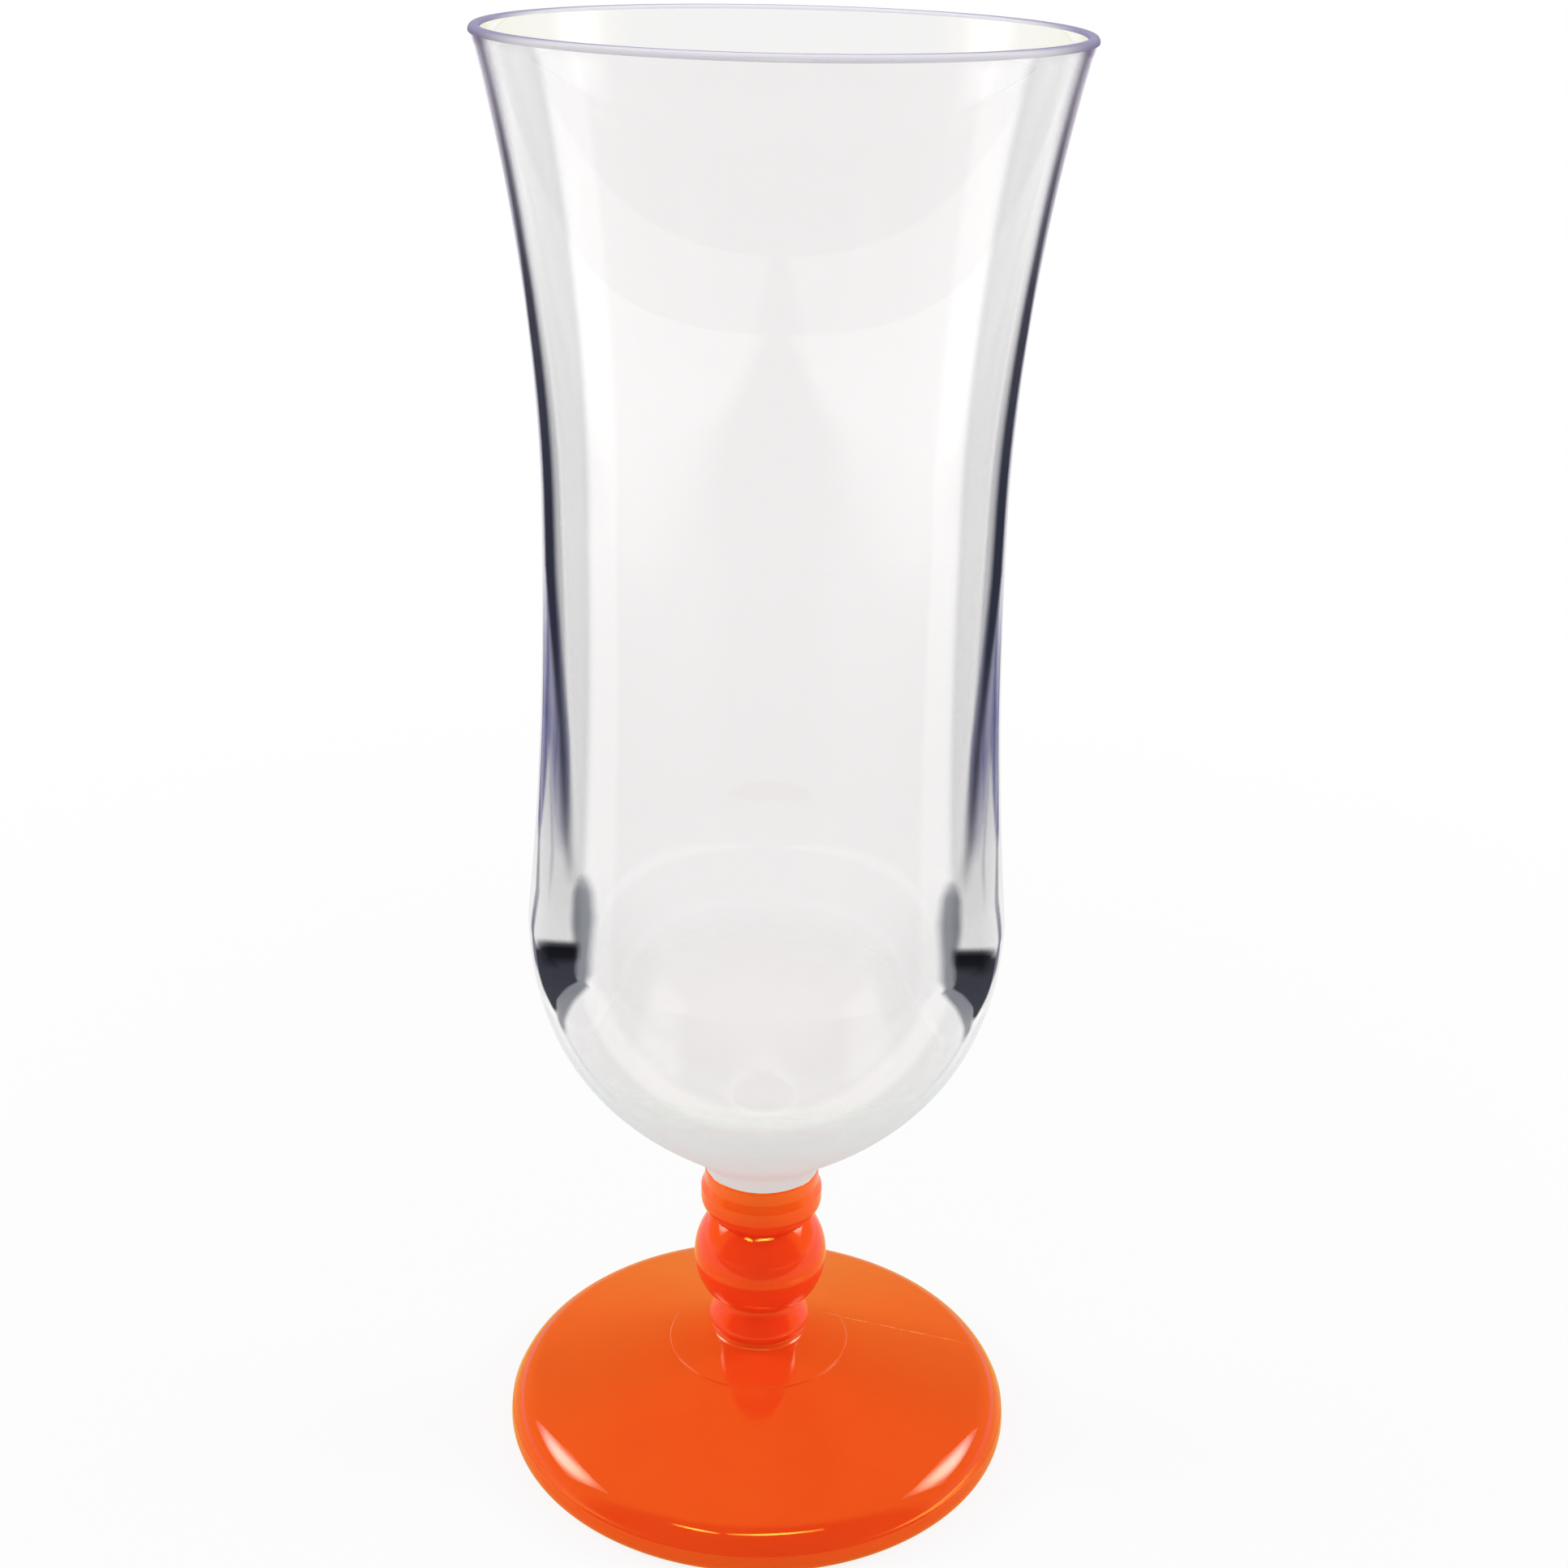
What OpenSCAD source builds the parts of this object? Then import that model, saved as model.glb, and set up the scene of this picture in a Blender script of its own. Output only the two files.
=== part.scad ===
// Two-piece hurricane glass: a clear bowl with a stepped spigot under it, pushed
// into the socket of a coloured stem and foot. All lengths are in millimetres.
// The origin is the centre of the foot, on the table, and +Z is up.

/* [Bowl outside] */
// Height of the bowl, from its seat on the collar to the lip
bowl_h = 164.7; // [150:0.1:180]
// Outside diameter at the lip
rim_d = 78.4; // [74:0.2:84]
// Lean of the wall at the lip, in degrees from upright
rim_lean = 14.6; // [8:0.2:20]
// Outside diameter at the belly, the widest place of the lower bowl
belly_d = 68.7; // [65:0.1:73]
// Height of the belly above the seat
belly_h = 42.5; // [38:0.1:50]
// Outside diameter at the waist
waist_d = 62.7; // [60.5:0.1:66]
// Height of the waist above the seat
waist_h = 104.2; // [90:0.2:115]
// Diameter of the bowl's neck where it sits on the collar
neck_d = 17.2; // [16.4:0.1:18]

/* [Bowl inside] */
// Wall thickness at the lip, which is also the diameter of its round edge
lip_wall = 1.5; // [1.2:0.1:2.2]
// Wall thickness at the waist
waist_wall = 2.6; // [1.8:0.1:3.4]
// Diameter of the round bottom of the inside, under the drafted wall
core_d = 55; // [50:0.5:57]
// Thickness of the bowl's floor above the seat
floor_t = 5.6; // [4:0.1:8]

/* [Spigot and socket] */
// Diameter of the short boss that centres the bowl in the collar
boss_d = 14; // [12:0.1:15]
// Length of the boss below the seat
boss_h = 3.6; // [2:0.1:5]
// Diameter of the long pin under the boss
pin_d = 7.6; // [6:0.1:8.4]
// Length of the pin below the boss
pin_h = 12.4; // [8:0.1:13]
// Diameter of the blind hole that cores the pin
pin_core_d = 3; // [2:0.1:3.6]
// Depth of the blind hole in the pin
pin_core_h = 9; // [5:0.5:10]
// Radial running clearance of the boss and the pin in their bores
fit_clearance = 0.05; // [0.02:0.01:0.1]
// Free space under the end of the boss and of the pin
end_gap = 0.6; // [0.3:0.1:1]
// Chamfer at the ends of the boss and the pin and at the mouths of the bores
lead_in = 0.5; // [0.2:0.1:0.8]

/* [Collar] */
// Diameter of the collar's upper part, under the bowl
collar_top_d = 17.3; // [16.8:0.1:18]
// Height of the collar's upper part
collar_top_h = 2.3; // [1.5:0.1:4]
// Diameter of the collar's wide band
collar_d = 18.4; // [18:0.1:20]
// Height of the slope from the upper part to the wide band
collar_slope_h = 1.2; // [0.6:0.1:2]
// Height of the straight wide band
collar_band_h = 1.8; // [1:0.1:4]
// Height of the rounding under the wide band
collar_round_h = 2.7; // [2:0.1:4]
// Diameter of the collar's lower edge, over the ball
collar_foot_d = 15.8; // [14.2:0.1:17]

/* [Ball and ring] */
// Diameter of the ball
ball_d = 20.3; // [18.6:0.1:22]
// Diameter of the crease between the collar and the ball
ball_top_d = 13.4; // [12:0.1:15]
// Diameter of the sharp edge at the bottom of the ball
ball_low_d = 17.6; // [15:0.1:18]
// Smallest diameter of the hollow curve under the ball
cove_d = 12.6; // [11.6:0.1:13.6]
// Height from the flat underside of the ring to the bottom of the ball
ring_h = 7.2; // [5:0.1:9]
// Diameter of the ring
ring_d = 15.5; // [14.8:0.1:17]
// Thickness of the ring's rounded edge
ring_edge_h = 1.8; // [1:0.1:2.4]
// Diameter of the short neck between the ring and the foot
stem_neck_d = 10.8; // [10:0.1:12]
// Height of the short neck between the ring and the foot
stem_neck_h = 0.8; // [0.5:0.1:3]

/* [Foot] */
// How much narrower the foot is than the lip, across the glass
foot_inset = 0.6; // [-6:0.2:8]
// Thickness of the foot's rounded edge
foot_edge_h = 7.1; // [6:0.1:9]
// Slope of the foot's top, in degrees
foot_slope = 17.1; // [14:0.1:20]
// Wall thickness of the hollow foot under its top
foot_wall = 3; // [2.2:0.1:3.6]
// Width of the flat ring that the foot stands on
rest_w = 2; // [1:0.1:3]
// Diameter of the fine step round the middle of the foot's top
step_d = 27.8; // [24:0.2:34]
// Height of the fine step
step_h = 0.15; // [0.1:0.01:0.3]
// Diameter of the hole that cores the stem from below, at its mouth
stem_core_d = 6; // [4:0.1:7]
// Height of that hole's round end above the table
stem_core_h = 22; // [18:0.5:24]

/* [Hidden] */

// Handles of the bowl's outside curves, as shares of the height they span
neck_handle_share = 0.16;
neck_flare_share = 0.03;
belly_under_share = 0.705;
belly_over_share = 0.05;
waist_under_share = 0.64;
waist_over_share = 0.19;
rim_handle_share = 0.44;
// Height of the hollow curve's narrowest place, as a share of the ring's height
cove_place_share = 0.7;
// Handles of the hollow curve, as shares of its height below and above that place
cove_lower_share = 0.3;
cove_waist_share = 0.4;
cove_upper_share = 0.4;
// Handles of the rounding under the collar's band, as shares of its width and height
collar_out_share = 0.39;
collar_up_share = 0.24;
collar_down_share = 0.41;
// Rounding of the collar's upper edge, at the seat
collar_edge_r = 0.35;
// Fillet where the short neck runs into the foot
foot_fillet_r = 0.6;
// Ridge that the mould's parting line leaves round the foot's widest place
parting_proud = 0.08;
parting_half_w = 0.25;
// Inward lean of the hollow's side wall and of the core in the stem, in degrees
draft_angle = 2;

// Points on the round stretches
bezier_steps = 24;
arc_steps = 16;
fine_steps = 6;
$fn = 160;

function bezier(a, b, c, d, steps = bezier_steps) =
    [for (i = [0 : steps]) let (t = i / steps, s = 1 - t)
        s * s * s * a + 3 * s * s * t * b + 3 * s * t * t * c + t * t * t * d];

// Points on a circle round centre c, from the angle start to the angle end
function arc(c, r, start, end, steps = arc_steps) =
    [for (i = [0 : steps]) let (a = start + (end - start) * i / steps)
        c + r * [cos(a), sin(a)]];

function without_last(points) = [for (i = [0 : len(points) - 2]) points[i]];

// The foot is about as wide as the lip, so that the glass stands firm. Its top is
// a cone that leaves the round edge at its tangent point
foot_r = (rim_d - foot_inset) / 2;
foot_edge_r = foot_edge_h / 2;
foot_edge_c = [foot_r - parting_proud - foot_edge_r, foot_edge_r];
foot_edge_top = foot_edge_c + foot_edge_r * [sin(foot_slope), cos(foot_slope)];
function foot_top_z(r) = foot_edge_top.y + (foot_edge_top.x - r) * tan(foot_slope);
function foot_under_z(r) = foot_top_z(r) - foot_wall / cos(foot_slope);

// Heights of the stem's stations above the table
stem_neck_z = foot_top_z(stem_neck_d / 2) + step_h;
ring_z = stem_neck_z + stem_neck_h;
ball_low_z = ring_z + ring_h;
ball_z = ball_low_z + sqrt(pow(ball_d / 2, 2) - pow(ball_low_d / 2, 2));
collar_z = ball_z + sqrt(pow(ball_d / 2, 2) - pow(ball_top_d / 2, 2));
band_z = collar_z + collar_round_h;
slope_z = band_z + collar_band_h;
collar_top_z = slope_z + collar_slope_h;
seat_z = collar_top_z + collar_top_h;
boss_bore_z = seat_z - boss_h - end_gap;
pin_bore_z = seat_z - boss_h - pin_h - end_gap;

// Outside of the bowl, from the neck up to the lip, with the seat at height zero
lip_r = lip_wall / 2;
lip_c = [rim_d / 2 - lip_r, bowl_h - lip_r];
rim_way = [sin(rim_lean), cos(rim_lean)];
rim_side = [cos(rim_lean), -sin(rim_lean)];
neck_p = [neck_d / 2, 0];
belly_p = [belly_d / 2, belly_h];
waist_p = [waist_d / 2, waist_h];
rim_out_p = lip_c + lip_r * rim_side;
rim_in_p = lip_c - lip_r * rim_side;
function neck_curve() = bezier(
    neck_p,
    neck_p + [neck_flare_share * (belly_p.x - neck_p.x), neck_handle_share * belly_h],
    belly_p - [0, belly_under_share * belly_h],
    belly_p);
function belly_curve() = bezier(
    belly_p,
    belly_p + [0, belly_over_share * (waist_h - belly_h)],
    waist_p - [0, waist_under_share * (waist_h - belly_h)],
    waist_p);
// A curve from the point p at the waist, leaving in the direction way, to the lip's edge q
function flare_curve(p, way, q) = bezier(
    p,
    p + waist_over_share * (bowl_h - waist_h) * way,
    q - rim_handle_share * (bowl_h - waist_h) * rim_way,
    q);

// Inside of the bowl: a round bottom, then a straight wall that leaves it at a
// tangent and only opens upwards, so that the moulded core can be drawn out
core_r = core_d / 2;
core_c = [0, floor_t + core_r];
waist_in_p = waist_p - [waist_wall, 0];
waist_from_core = waist_in_p - core_c;
core_draft = atan2(waist_from_core.x, waist_from_core.y) - asin(core_r / norm(waist_from_core));

function bowl_outside() = concat(
    without_last(neck_curve()),
    without_last(belly_curve()),
    without_last(flare_curve(waist_p, [0, 1], rim_out_p)));
function bowl_lip() = without_last(arc(lip_c, lip_r, -rim_lean, 180 - rim_lean));
function bowl_inside() = let (
    flare = flare_curve(waist_in_p, [sin(core_draft), cos(core_draft)], rim_in_p),
    bottom = arc(core_c, core_r, -90, -core_draft, bezier_steps))
    concat(
        [for (i = [len(flare) - 1 : -1 : 0]) flare[i]],
        [for (i = [len(bottom) - 1 : -1 : 0]) bottom[i]]);

// Stepped spigot, from the axis outwards to the edge of the seat
function spigot() = let (
    end_z = -boss_h - pin_h,
    pin_r = pin_d / 2,
    boss_r = boss_d / 2)
    [
        [0, end_z + pin_core_h],
        [pin_core_d / 2, end_z + pin_core_h],
        [pin_core_d / 2, end_z],
        [pin_r - lead_in, end_z],
        [pin_r, end_z + lead_in],
        [pin_r, -boss_h],
        [boss_r - lead_in, -boss_h],
        [boss_r, lead_in - boss_h],
        [boss_r, 0]
    ];

module bowl() {
    color("white", 0.35)
        translate([0, 0, seat_z])
            rotate_extrude()
                polygon(concat(spigot(), bowl_outside(), bowl_lip(), bowl_inside()));
}

// Hollow under the foot, from the axis outwards: the round-ended core in the
// stem, the underside of the foot's top, and the wall down to the resting ring
function foot_under() = let (
    mouth_r = stem_core_d / 2,
    mouth_z = foot_under_z(mouth_r),
    end_r = mouth_r - (stem_core_h - mouth_z) * tan(draft_angle),
    rest_in_r = foot_edge_c.x - rest_w,
    wall_z = foot_under_z(rest_in_r),
    wall_r = rest_in_r - wall_z * tan(draft_angle))
    concat(
        arc([0, stem_core_h - end_r], end_r, 90, 0),
        [[mouth_r, mouth_z], [wall_r, foot_under_z(wall_r)], [rest_in_r, 0]]);

// Round edge of the foot with the fine parting ridge at its widest place
function foot_edge() = let (ridge_a = asin(parting_half_w / foot_edge_r)) concat(
    arc(foot_edge_c, foot_edge_r, -90, -ridge_a),
    [[foot_r, foot_edge_r]],
    arc(foot_edge_c, foot_edge_r, ridge_a, 90 - foot_slope));

// Top of the foot, up over the fine step to the fillet of the short neck
function foot_top() = let (
    step_r = step_d / 2,
    fillet_x = stem_neck_d / 2 + foot_fillet_r,
    fillet_z = foot_top_z(fillet_x) + step_h + foot_fillet_r / cos(foot_slope))
    concat(
        [[step_r, foot_top_z(step_r)], [step_r - step_h, foot_top_z(step_r - step_h) + step_h]],
        arc([fillet_x, fillet_z], foot_fillet_r, -90 - foot_slope, -180, fine_steps));

// The ring with its round lower edge, and the hollow curve above it up to the ball
function ring_and_cove() = let (
    edge_r = ring_edge_h / 2,
    edge_c = [ring_d / 2 - edge_r, ring_z + edge_r],
    edge_p = edge_c + [edge_r, 0],
    cove_p = [cove_d / 2, ring_z + cove_place_share * ring_h],
    ball_p = [ball_low_d / 2, ball_low_z],
    under = cove_p.y - edge_p.y,
    over = ball_p.y - cove_p.y)
    concat(
        [[stem_neck_d / 2, ring_z]],
        without_last(arc(edge_c, edge_r, -90, 0, fine_steps)),
        without_last(bezier(edge_p, edge_p + [0, cove_lower_share * under],
            cove_p - [0, cove_waist_share * under], cove_p, arc_steps)),
        without_last(bezier(cove_p, cove_p + [0, cove_waist_share * over],
            ball_p - cove_upper_share * (ball_p - cove_p), ball_p, fine_steps)));

function ball() = arc([0, ball_z], ball_d / 2, -acos(ball_low_d / ball_d),
    acos(ball_top_d / ball_d), bezier_steps);

// The collar: a rounding up to the wide band, a slope, and the narrower upper part
function collar() = let (
    edge_p = [collar_foot_d / 2, collar_z],
    band_p = [collar_d / 2, band_z],
    top_r = collar_top_d / 2)
    concat(
        without_last(bezier(
            edge_p,
            edge_p + [collar_out_share * (band_p.x - edge_p.x), collar_up_share * collar_round_h],
            band_p - [0, collar_down_share * collar_round_h],
            band_p, arc_steps)),
        [band_p, [band_p.x, slope_z], [top_r, collar_top_z]],
        arc([top_r - collar_edge_r, seat_z - collar_edge_r], collar_edge_r, 0, 90, fine_steps));

// Flat seat and stepped socket, from the collar's upper edge in to the axis
function socket() = let (
    boss_r = boss_d / 2 + fit_clearance,
    pin_r = pin_d / 2 + fit_clearance)
    [
        [boss_r + lead_in, seat_z],
        [boss_r, seat_z - lead_in],
        [boss_r, boss_bore_z],
        [pin_r + lead_in, boss_bore_z],
        [pin_r, boss_bore_z - lead_in],
        [pin_r, pin_bore_z],
        [0, pin_bore_z]
    ];

module stem_and_foot() {
    color("orangered")
        rotate_extrude()
            polygon(concat(foot_under(), foot_edge(), foot_top(), ring_and_cove(),
                ball(), collar(), socket()));
}

bowl();
stem_and_foot();
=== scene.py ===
"""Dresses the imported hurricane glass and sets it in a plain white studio."""

import logging
import math
from dataclasses import dataclass
from enum import Enum, IntEnum
from functools import cached_property, reduce

import bpy
from mathutils import Matrix, Vector


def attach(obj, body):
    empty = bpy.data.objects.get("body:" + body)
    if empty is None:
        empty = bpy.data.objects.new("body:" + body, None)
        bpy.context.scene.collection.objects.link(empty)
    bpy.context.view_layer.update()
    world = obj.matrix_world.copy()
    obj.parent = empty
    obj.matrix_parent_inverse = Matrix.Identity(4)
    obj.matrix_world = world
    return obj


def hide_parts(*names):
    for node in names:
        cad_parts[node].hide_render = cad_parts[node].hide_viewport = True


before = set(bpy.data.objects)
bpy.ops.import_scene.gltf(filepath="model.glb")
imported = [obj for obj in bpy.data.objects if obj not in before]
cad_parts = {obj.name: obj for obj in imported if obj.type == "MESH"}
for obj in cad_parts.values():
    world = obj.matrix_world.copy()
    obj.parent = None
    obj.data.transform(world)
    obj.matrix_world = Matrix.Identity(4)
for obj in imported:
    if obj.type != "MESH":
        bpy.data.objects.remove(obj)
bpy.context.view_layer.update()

MM = 0.001
AROUND = 240
SHARP_CORNER = math.radians(32)

Point = tuple[float, float]
Spot = tuple[float, float, float]
Colour = tuple[float, float, float]
Socket = bpy.types.NodeSocket
WHITE: Colour = (1.0, 1.0, 1.0)
log = logging.getLogger("hurricane_glass")


class BowlSkin(IntEnum):
    """Stretches of the bowl's outline, each with a finish of its own."""

    OUTSIDE = 0
    LIP = 1
    INSIDE = 2
    SPIGOT = 3


class StemSkin(IntEnum):
    """Stretches of the outline of the stem and foot."""

    FOOT = 0
    STEM = 1
    SOCKET = 2
    UNDERSIDE = 3


class Side(Enum):
    """The side of the glass that a softbox stands on, as a sign along X."""

    LEFT = -1.0
    RIGHT = 1.0


class LampPart(Enum):
    """What a lamp adds to a piece."""

    BOTH = "light and gloss"
    PLAIN = "light alone"
    GLOSS = "gloss alone"


def bezier(a: Point, b: Point, c: Point, d: Point, steps: int) -> list[Point]:
    """Points on a cubic curve.

    Args:
        a: Start of the curve.
        b: Handle of the start.
        c: Handle of the end.
        d: End of the curve.
        steps: Number of stretches between the points.

    Returns:
        The points from a to d, both of them included.
    """
    points = []
    for i in range(steps + 1):
        t = i / steps
        s = 1.0 - t
        weights = (s * s * s, 3 * s * s * t, 3 * s * t * t, t * t * t)
        pairs = list(zip(weights, (a, b, c, d)))
        points.append(tuple(sum(w * p[k] for w, p in pairs) for k in (0, 1)))
    return points


def arc(centre: Point, radius: float, start: float, end: float, steps: int) -> list[Point]:
    """Points on a circle between two angles in degrees, counted from the outward direction."""
    angles = (math.radians(start + (end - start) * i / steps) for i in range(steps + 1))
    return [(centre[0] + radius * math.cos(a), centre[1] + radius * math.sin(a)) for a in angles]


def moved(point: Point, by: Point, times: float = 1.0) -> Point:
    """The point moved by a vector, which counts that many times."""
    return point[0] + by[0] * times, point[1] + by[1] * times


@dataclass(frozen=True)
class Station:
    """One point of a turned outline.

    Attributes:
        r: Distance from the axis in millimetres.
        z: Height above the table in millimetres.
        skin: Finish of the stretch that ends here.
        soft: Radius of the small rounding at this corner, or zero.
    """

    r: float
    z: float
    skin: int
    soft: float = 0.0


class TurnedOutline:
    """An outline in millimetres that starts and ends on the axis, and the mesh that it becomes.

    Each stretch gets the finish that skin holds when it is added.
    """

    SOFT_STEPS = 5
    MOST_OF_A_SIDE = 0.45
    NEAR_ENOUGH = 1e-6

    def __init__(self) -> None:
        """Starts an empty outline."""
        self.stations: list[Station] = []
        self.skin = 0

    def corner(self, point: Point, soft: float = 0.0) -> None:
        """Adds one corner, with the radius of its small rounding."""
        self.stations.append(Station(*point, self.skin, soft))

    def curve(self, points: list[Point]) -> None:
        """Adds the points of a curve, and leaves out a first point that is there already.

        Args:
            points: Points in the outline's direction.
        """
        for point in points:
            last = self.stations[-1] if self.stations else None
            if last and math.dist((last.r, last.z), point) < self.NEAR_ENOUGH:
                continue
            self.corner(point)

    def straight(self, end: Point, steps: int, soft: float = 0.0) -> None:
        """Adds a straight stretch from the last station, divided more finely near its ends.

        Args:
            end: Where the stretch ends.
            steps: Number of parts.
            soft: Radius of the small rounding at its end.
        """
        a = self.stations[-1]
        for i in range(1, steps + 1):
            share = (1 - math.cos(math.pi * i / steps)) / 2
            point = (a.r + (end[0] - a.r) * share, a.z + (end[1] - a.z) * share)
            self.corner(point, soft if i == steps else 0.0)

    def eased(self) -> list[Station]:
        """Turns each soft corner into a small arc.

        Returns:
            All stations, in the outline's direction.
        """
        out: list[Station] = []
        for i, here in enumerate(self.stations):
            if here.soft <= 0 or i in (0, len(self.stations) - 1):
                out.append(here)
                continue
            before, after = self.stations[i - 1], self.stations[i + 1]
            out += self._rounded(before, here, after)
        return out

    def _rounded(self, before: Station, here: Station, after: Station) -> list[Station]:
        """The small arc that takes the place of a corner.

        Args:
            before: Station before the corner.
            here: The corner.
            after: Station after it.

        Returns:
            Stations along the arc.
        """
        b = Vector((here.r, here.z))
        u = Vector((before.r, before.z)) - b
        v = Vector((after.r, after.z)) - b
        shorter = min(u.length, v.length)
        u.normalize()
        v.normalize()
        half = math.acos(max(-1.0, min(1.0, u.dot(v)))) / 2
        reach = min(here.soft / math.tan(half), self.MOST_OF_A_SIDE * shorter)
        radius = reach * math.tan(half)
        centre = b + (u + v).normalized() * (radius / math.sin(half))
        start, end = b + u * reach - centre, b + v * reach - centre
        first = math.atan2(start.y, start.x)
        turn = math.atan2(start.x * end.y - start.y * end.x, start.dot(end))
        out = []
        for k in range(self.SOFT_STEPS + 1):
            a = first + turn * k / self.SOFT_STEPS
            skin = here.skin if k <= self.SOFT_STEPS // 2 else after.skin
            out.append(Station(centre.x + radius * math.cos(a), centre.y + radius * math.sin(a),
                               skin))
        return out

    def turned(self, name: str) -> bpy.types.Object:
        """Turns the outline round the axis.

        Args:
            name: Name of the new piece.

        Returns:
            The piece, in metres, linked to the scene.
        """
        stations = self.eased()
        verts: list[Spot] = []
        rings: list[list[int]] = []
        angles = [2 * math.pi * j / AROUND for j in range(AROUND)]
        ways = [(math.cos(a), math.sin(a)) for a in angles]
        for s in stations:
            first = len(verts)
            if s.r < self.NEAR_ENOUGH:
                verts.append((0.0, 0.0, s.z * MM))
                rings.append([first] * AROUND)
            else:
                verts += [(s.r * x * MM, s.r * y * MM, s.z * MM) for x, y in ways]
                rings.append(list(range(first, first + AROUND)))
        faces: list[tuple[int, ...]] = []
        skins: list[int] = []
        for low, high, s in zip(rings, rings[1:], stations[1:]):
            for j in range(AROUND):
                k = (j + 1) % AROUND
                quad = (low[j], low[k], high[k], high[j])
                faces.append(tuple(dict.fromkeys(quad)))
                skins.append(int(s.skin))
        mesh = bpy.data.meshes.new(name)
        mesh.from_pydata(verts, [], faces)
        mesh.polygons.foreach_set("material_index", skins)
        mesh.polygons.foreach_set("use_smooth", [True] * len(faces))
        mesh.set_sharp_from_angle(angle=SHARP_CORNER)
        mesh.validate()
        piece = bpy.data.objects.new(name, mesh)
        bpy.context.scene.collection.objects.link(piece)
        return piece


class NodeBench:
    """Lays out and joins the nodes of one material, lamp or world."""

    def __init__(self, tree: bpy.types.NodeTree) -> None:
        """Clears the tree and keeps it."""
        self.tree = tree
        tree.nodes.clear()

    @classmethod
    def of_material(cls, name: str) -> tuple[bpy.types.Material, "NodeBench"]:
        """Starts a material.

        Args:
            name: Its name.

        Returns:
            The material and the bench for its nodes.
        """
        made = bpy.data.materials.new(name)
        made.use_nodes = True
        return made, cls(made.node_tree)

    @cached_property
    def place(self) -> Socket:
        """Coordinates on the piece, in metres."""
        return self.add("TexCoord").outputs["Object"]

    @cached_property
    def height(self) -> Socket:
        """Height above the table, in metres."""
        return self.axis(self.place, "Z")

    @cached_property
    def path(self) -> bpy.types.bpy_prop_collection:
        """What is known of the ray that sees the surface."""
        return self.add("LightPath").outputs

    @cached_property
    def mirror(self) -> Socket:
        """Whether that ray comes from gloss and hasn't gone through glass."""
        outside = self.calc("LESS_THAN", self.path["Transmission Depth"], 0.5)
        return self.product(self.path["Is Glossy Ray"], outside)

    def add(self, kind: str, inputs: dict | None = None, **settings: object) -> bpy.types.Node:
        """Adds a node.

        Args:
            kind: The node's type name, without the words ShaderNode.
            inputs: Numbers, colours or sockets for its inputs, by name or place.
            settings: Values for the node's own settings.

        Returns:
            The node.
        """
        node = self.tree.nodes.new("ShaderNode" + kind)
        for key, value in settings.items():
            setattr(node, key, value)
        for key, value in (inputs or {}).items():
            socket = node.inputs[key]
            if isinstance(value, bpy.types.NodeSocket):
                self.tree.links.new(value, socket)
            elif isinstance(value, tuple) and len(value) == 3 and socket.type == "RGBA":
                socket.default_value = (*value, 1.0)
            else:
                socket.default_value = value
        return node

    def calc(self, operation: str, *values: object) -> Socket:
        """The result of one Math node on numbers or sockets."""
        return self.add("Math", dict(enumerate(values)), operation=operation).outputs[0]

    def vector(self, operation: str, *values: object, result: str = "Vector") -> Socket:
        """The result of one Vector Math node on vectors or sockets."""
        return self.add("VectorMath", dict(enumerate(values)), operation=operation).outputs[result]

    def product(self, *values: object) -> Socket:
        """The product of two or more numbers or sockets."""
        return reduce(lambda a, b: self.calc("MULTIPLY", a, b), values)

    def rest(self, value: Socket) -> Socket:
        """What the value leaves of one."""
        return self.calc("SUBTRACT", 1.0, value)

    def axis(self, vector: Socket, letter: str) -> Socket:
        """One coordinate of a vector."""
        return self.add("SeparateXYZ", {0: vector}).outputs[letter]

    def between(self, share: Socket, low: object, high: object) -> Socket:
        """A number that goes evenly from one value to another."""
        return self.add("MapRange", {0: share, 3: low, 4: high}).outputs[0]

    def eased_step(self, value: Socket, low: float, high: float,
                   to_low: float = 0.0, to_high: float = 1.0) -> Socket:
        """A smooth step from one number to another, between two marks of the value."""
        inputs = {0: value, 1: low, 2: high, 3: to_low, 4: to_high}
        return self.add("MapRange", inputs, interpolation_type="SMOOTHSTEP").outputs[0]

    def fading(self, value: Socket, low: float, high: float) -> Socket:
        """A smooth step from one down to zero between two marks."""
        return self.eased_step(value, low, high, 1.0, 0.0)

    def profile(self, value: Socket, points: tuple[Point, ...]) -> Socket:
        """A number that follows a drawn curve.

        Args:
            value: Socket from zero to one.
            points: Points of the curve, each of them from zero to one.

        Returns:
            Socket with the number.
        """
        node = self.add("FloatCurve", {"Value": value})
        node.mapping.extend = "HORIZONTAL"
        curve = node.mapping.curves[0]
        while len(curve.points) < len(points):
            curve.points.new(0.5, 0.5)
        for spot, place in zip(curve.points, points):
            spot.location = place
            spot.handle_type = "VECTOR"
        node.mapping.update()
        return node.outputs[0]

    def noise(self, vector: Socket, scale: float, detail: float = 2.0,
              roughness: float = 0.5) -> Socket:
        """The grey value of a noise texture."""
        inputs = {"Vector": vector, "Scale": scale, "Detail": detail, "Roughness": roughness}
        return self.add("TexNoise", inputs).outputs[0]

    def stretched(self, vector: Socket, scale: Spot) -> Socket:
        """Coordinates scaled along each axis."""
        return self.add("Mapping", {"Vector": vector, "Scale": scale}).outputs[0]

    def bump(self, height: Socket, metres: float) -> Socket:
        """Normals of a face that is that uneven."""
        inputs = {"Height": height, "Strength": 1.0, "Distance": metres}
        return self.add("Bump", inputs).outputs[0]

    def mixed(self, share: Socket, first: object, other: object) -> Socket:
        """A colour with a share of another, each of them a colour or a socket."""
        inputs = {0: share, 6: first, 7: other}
        return self.add("Mix", inputs, data_type="RGBA").outputs[2]

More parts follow.
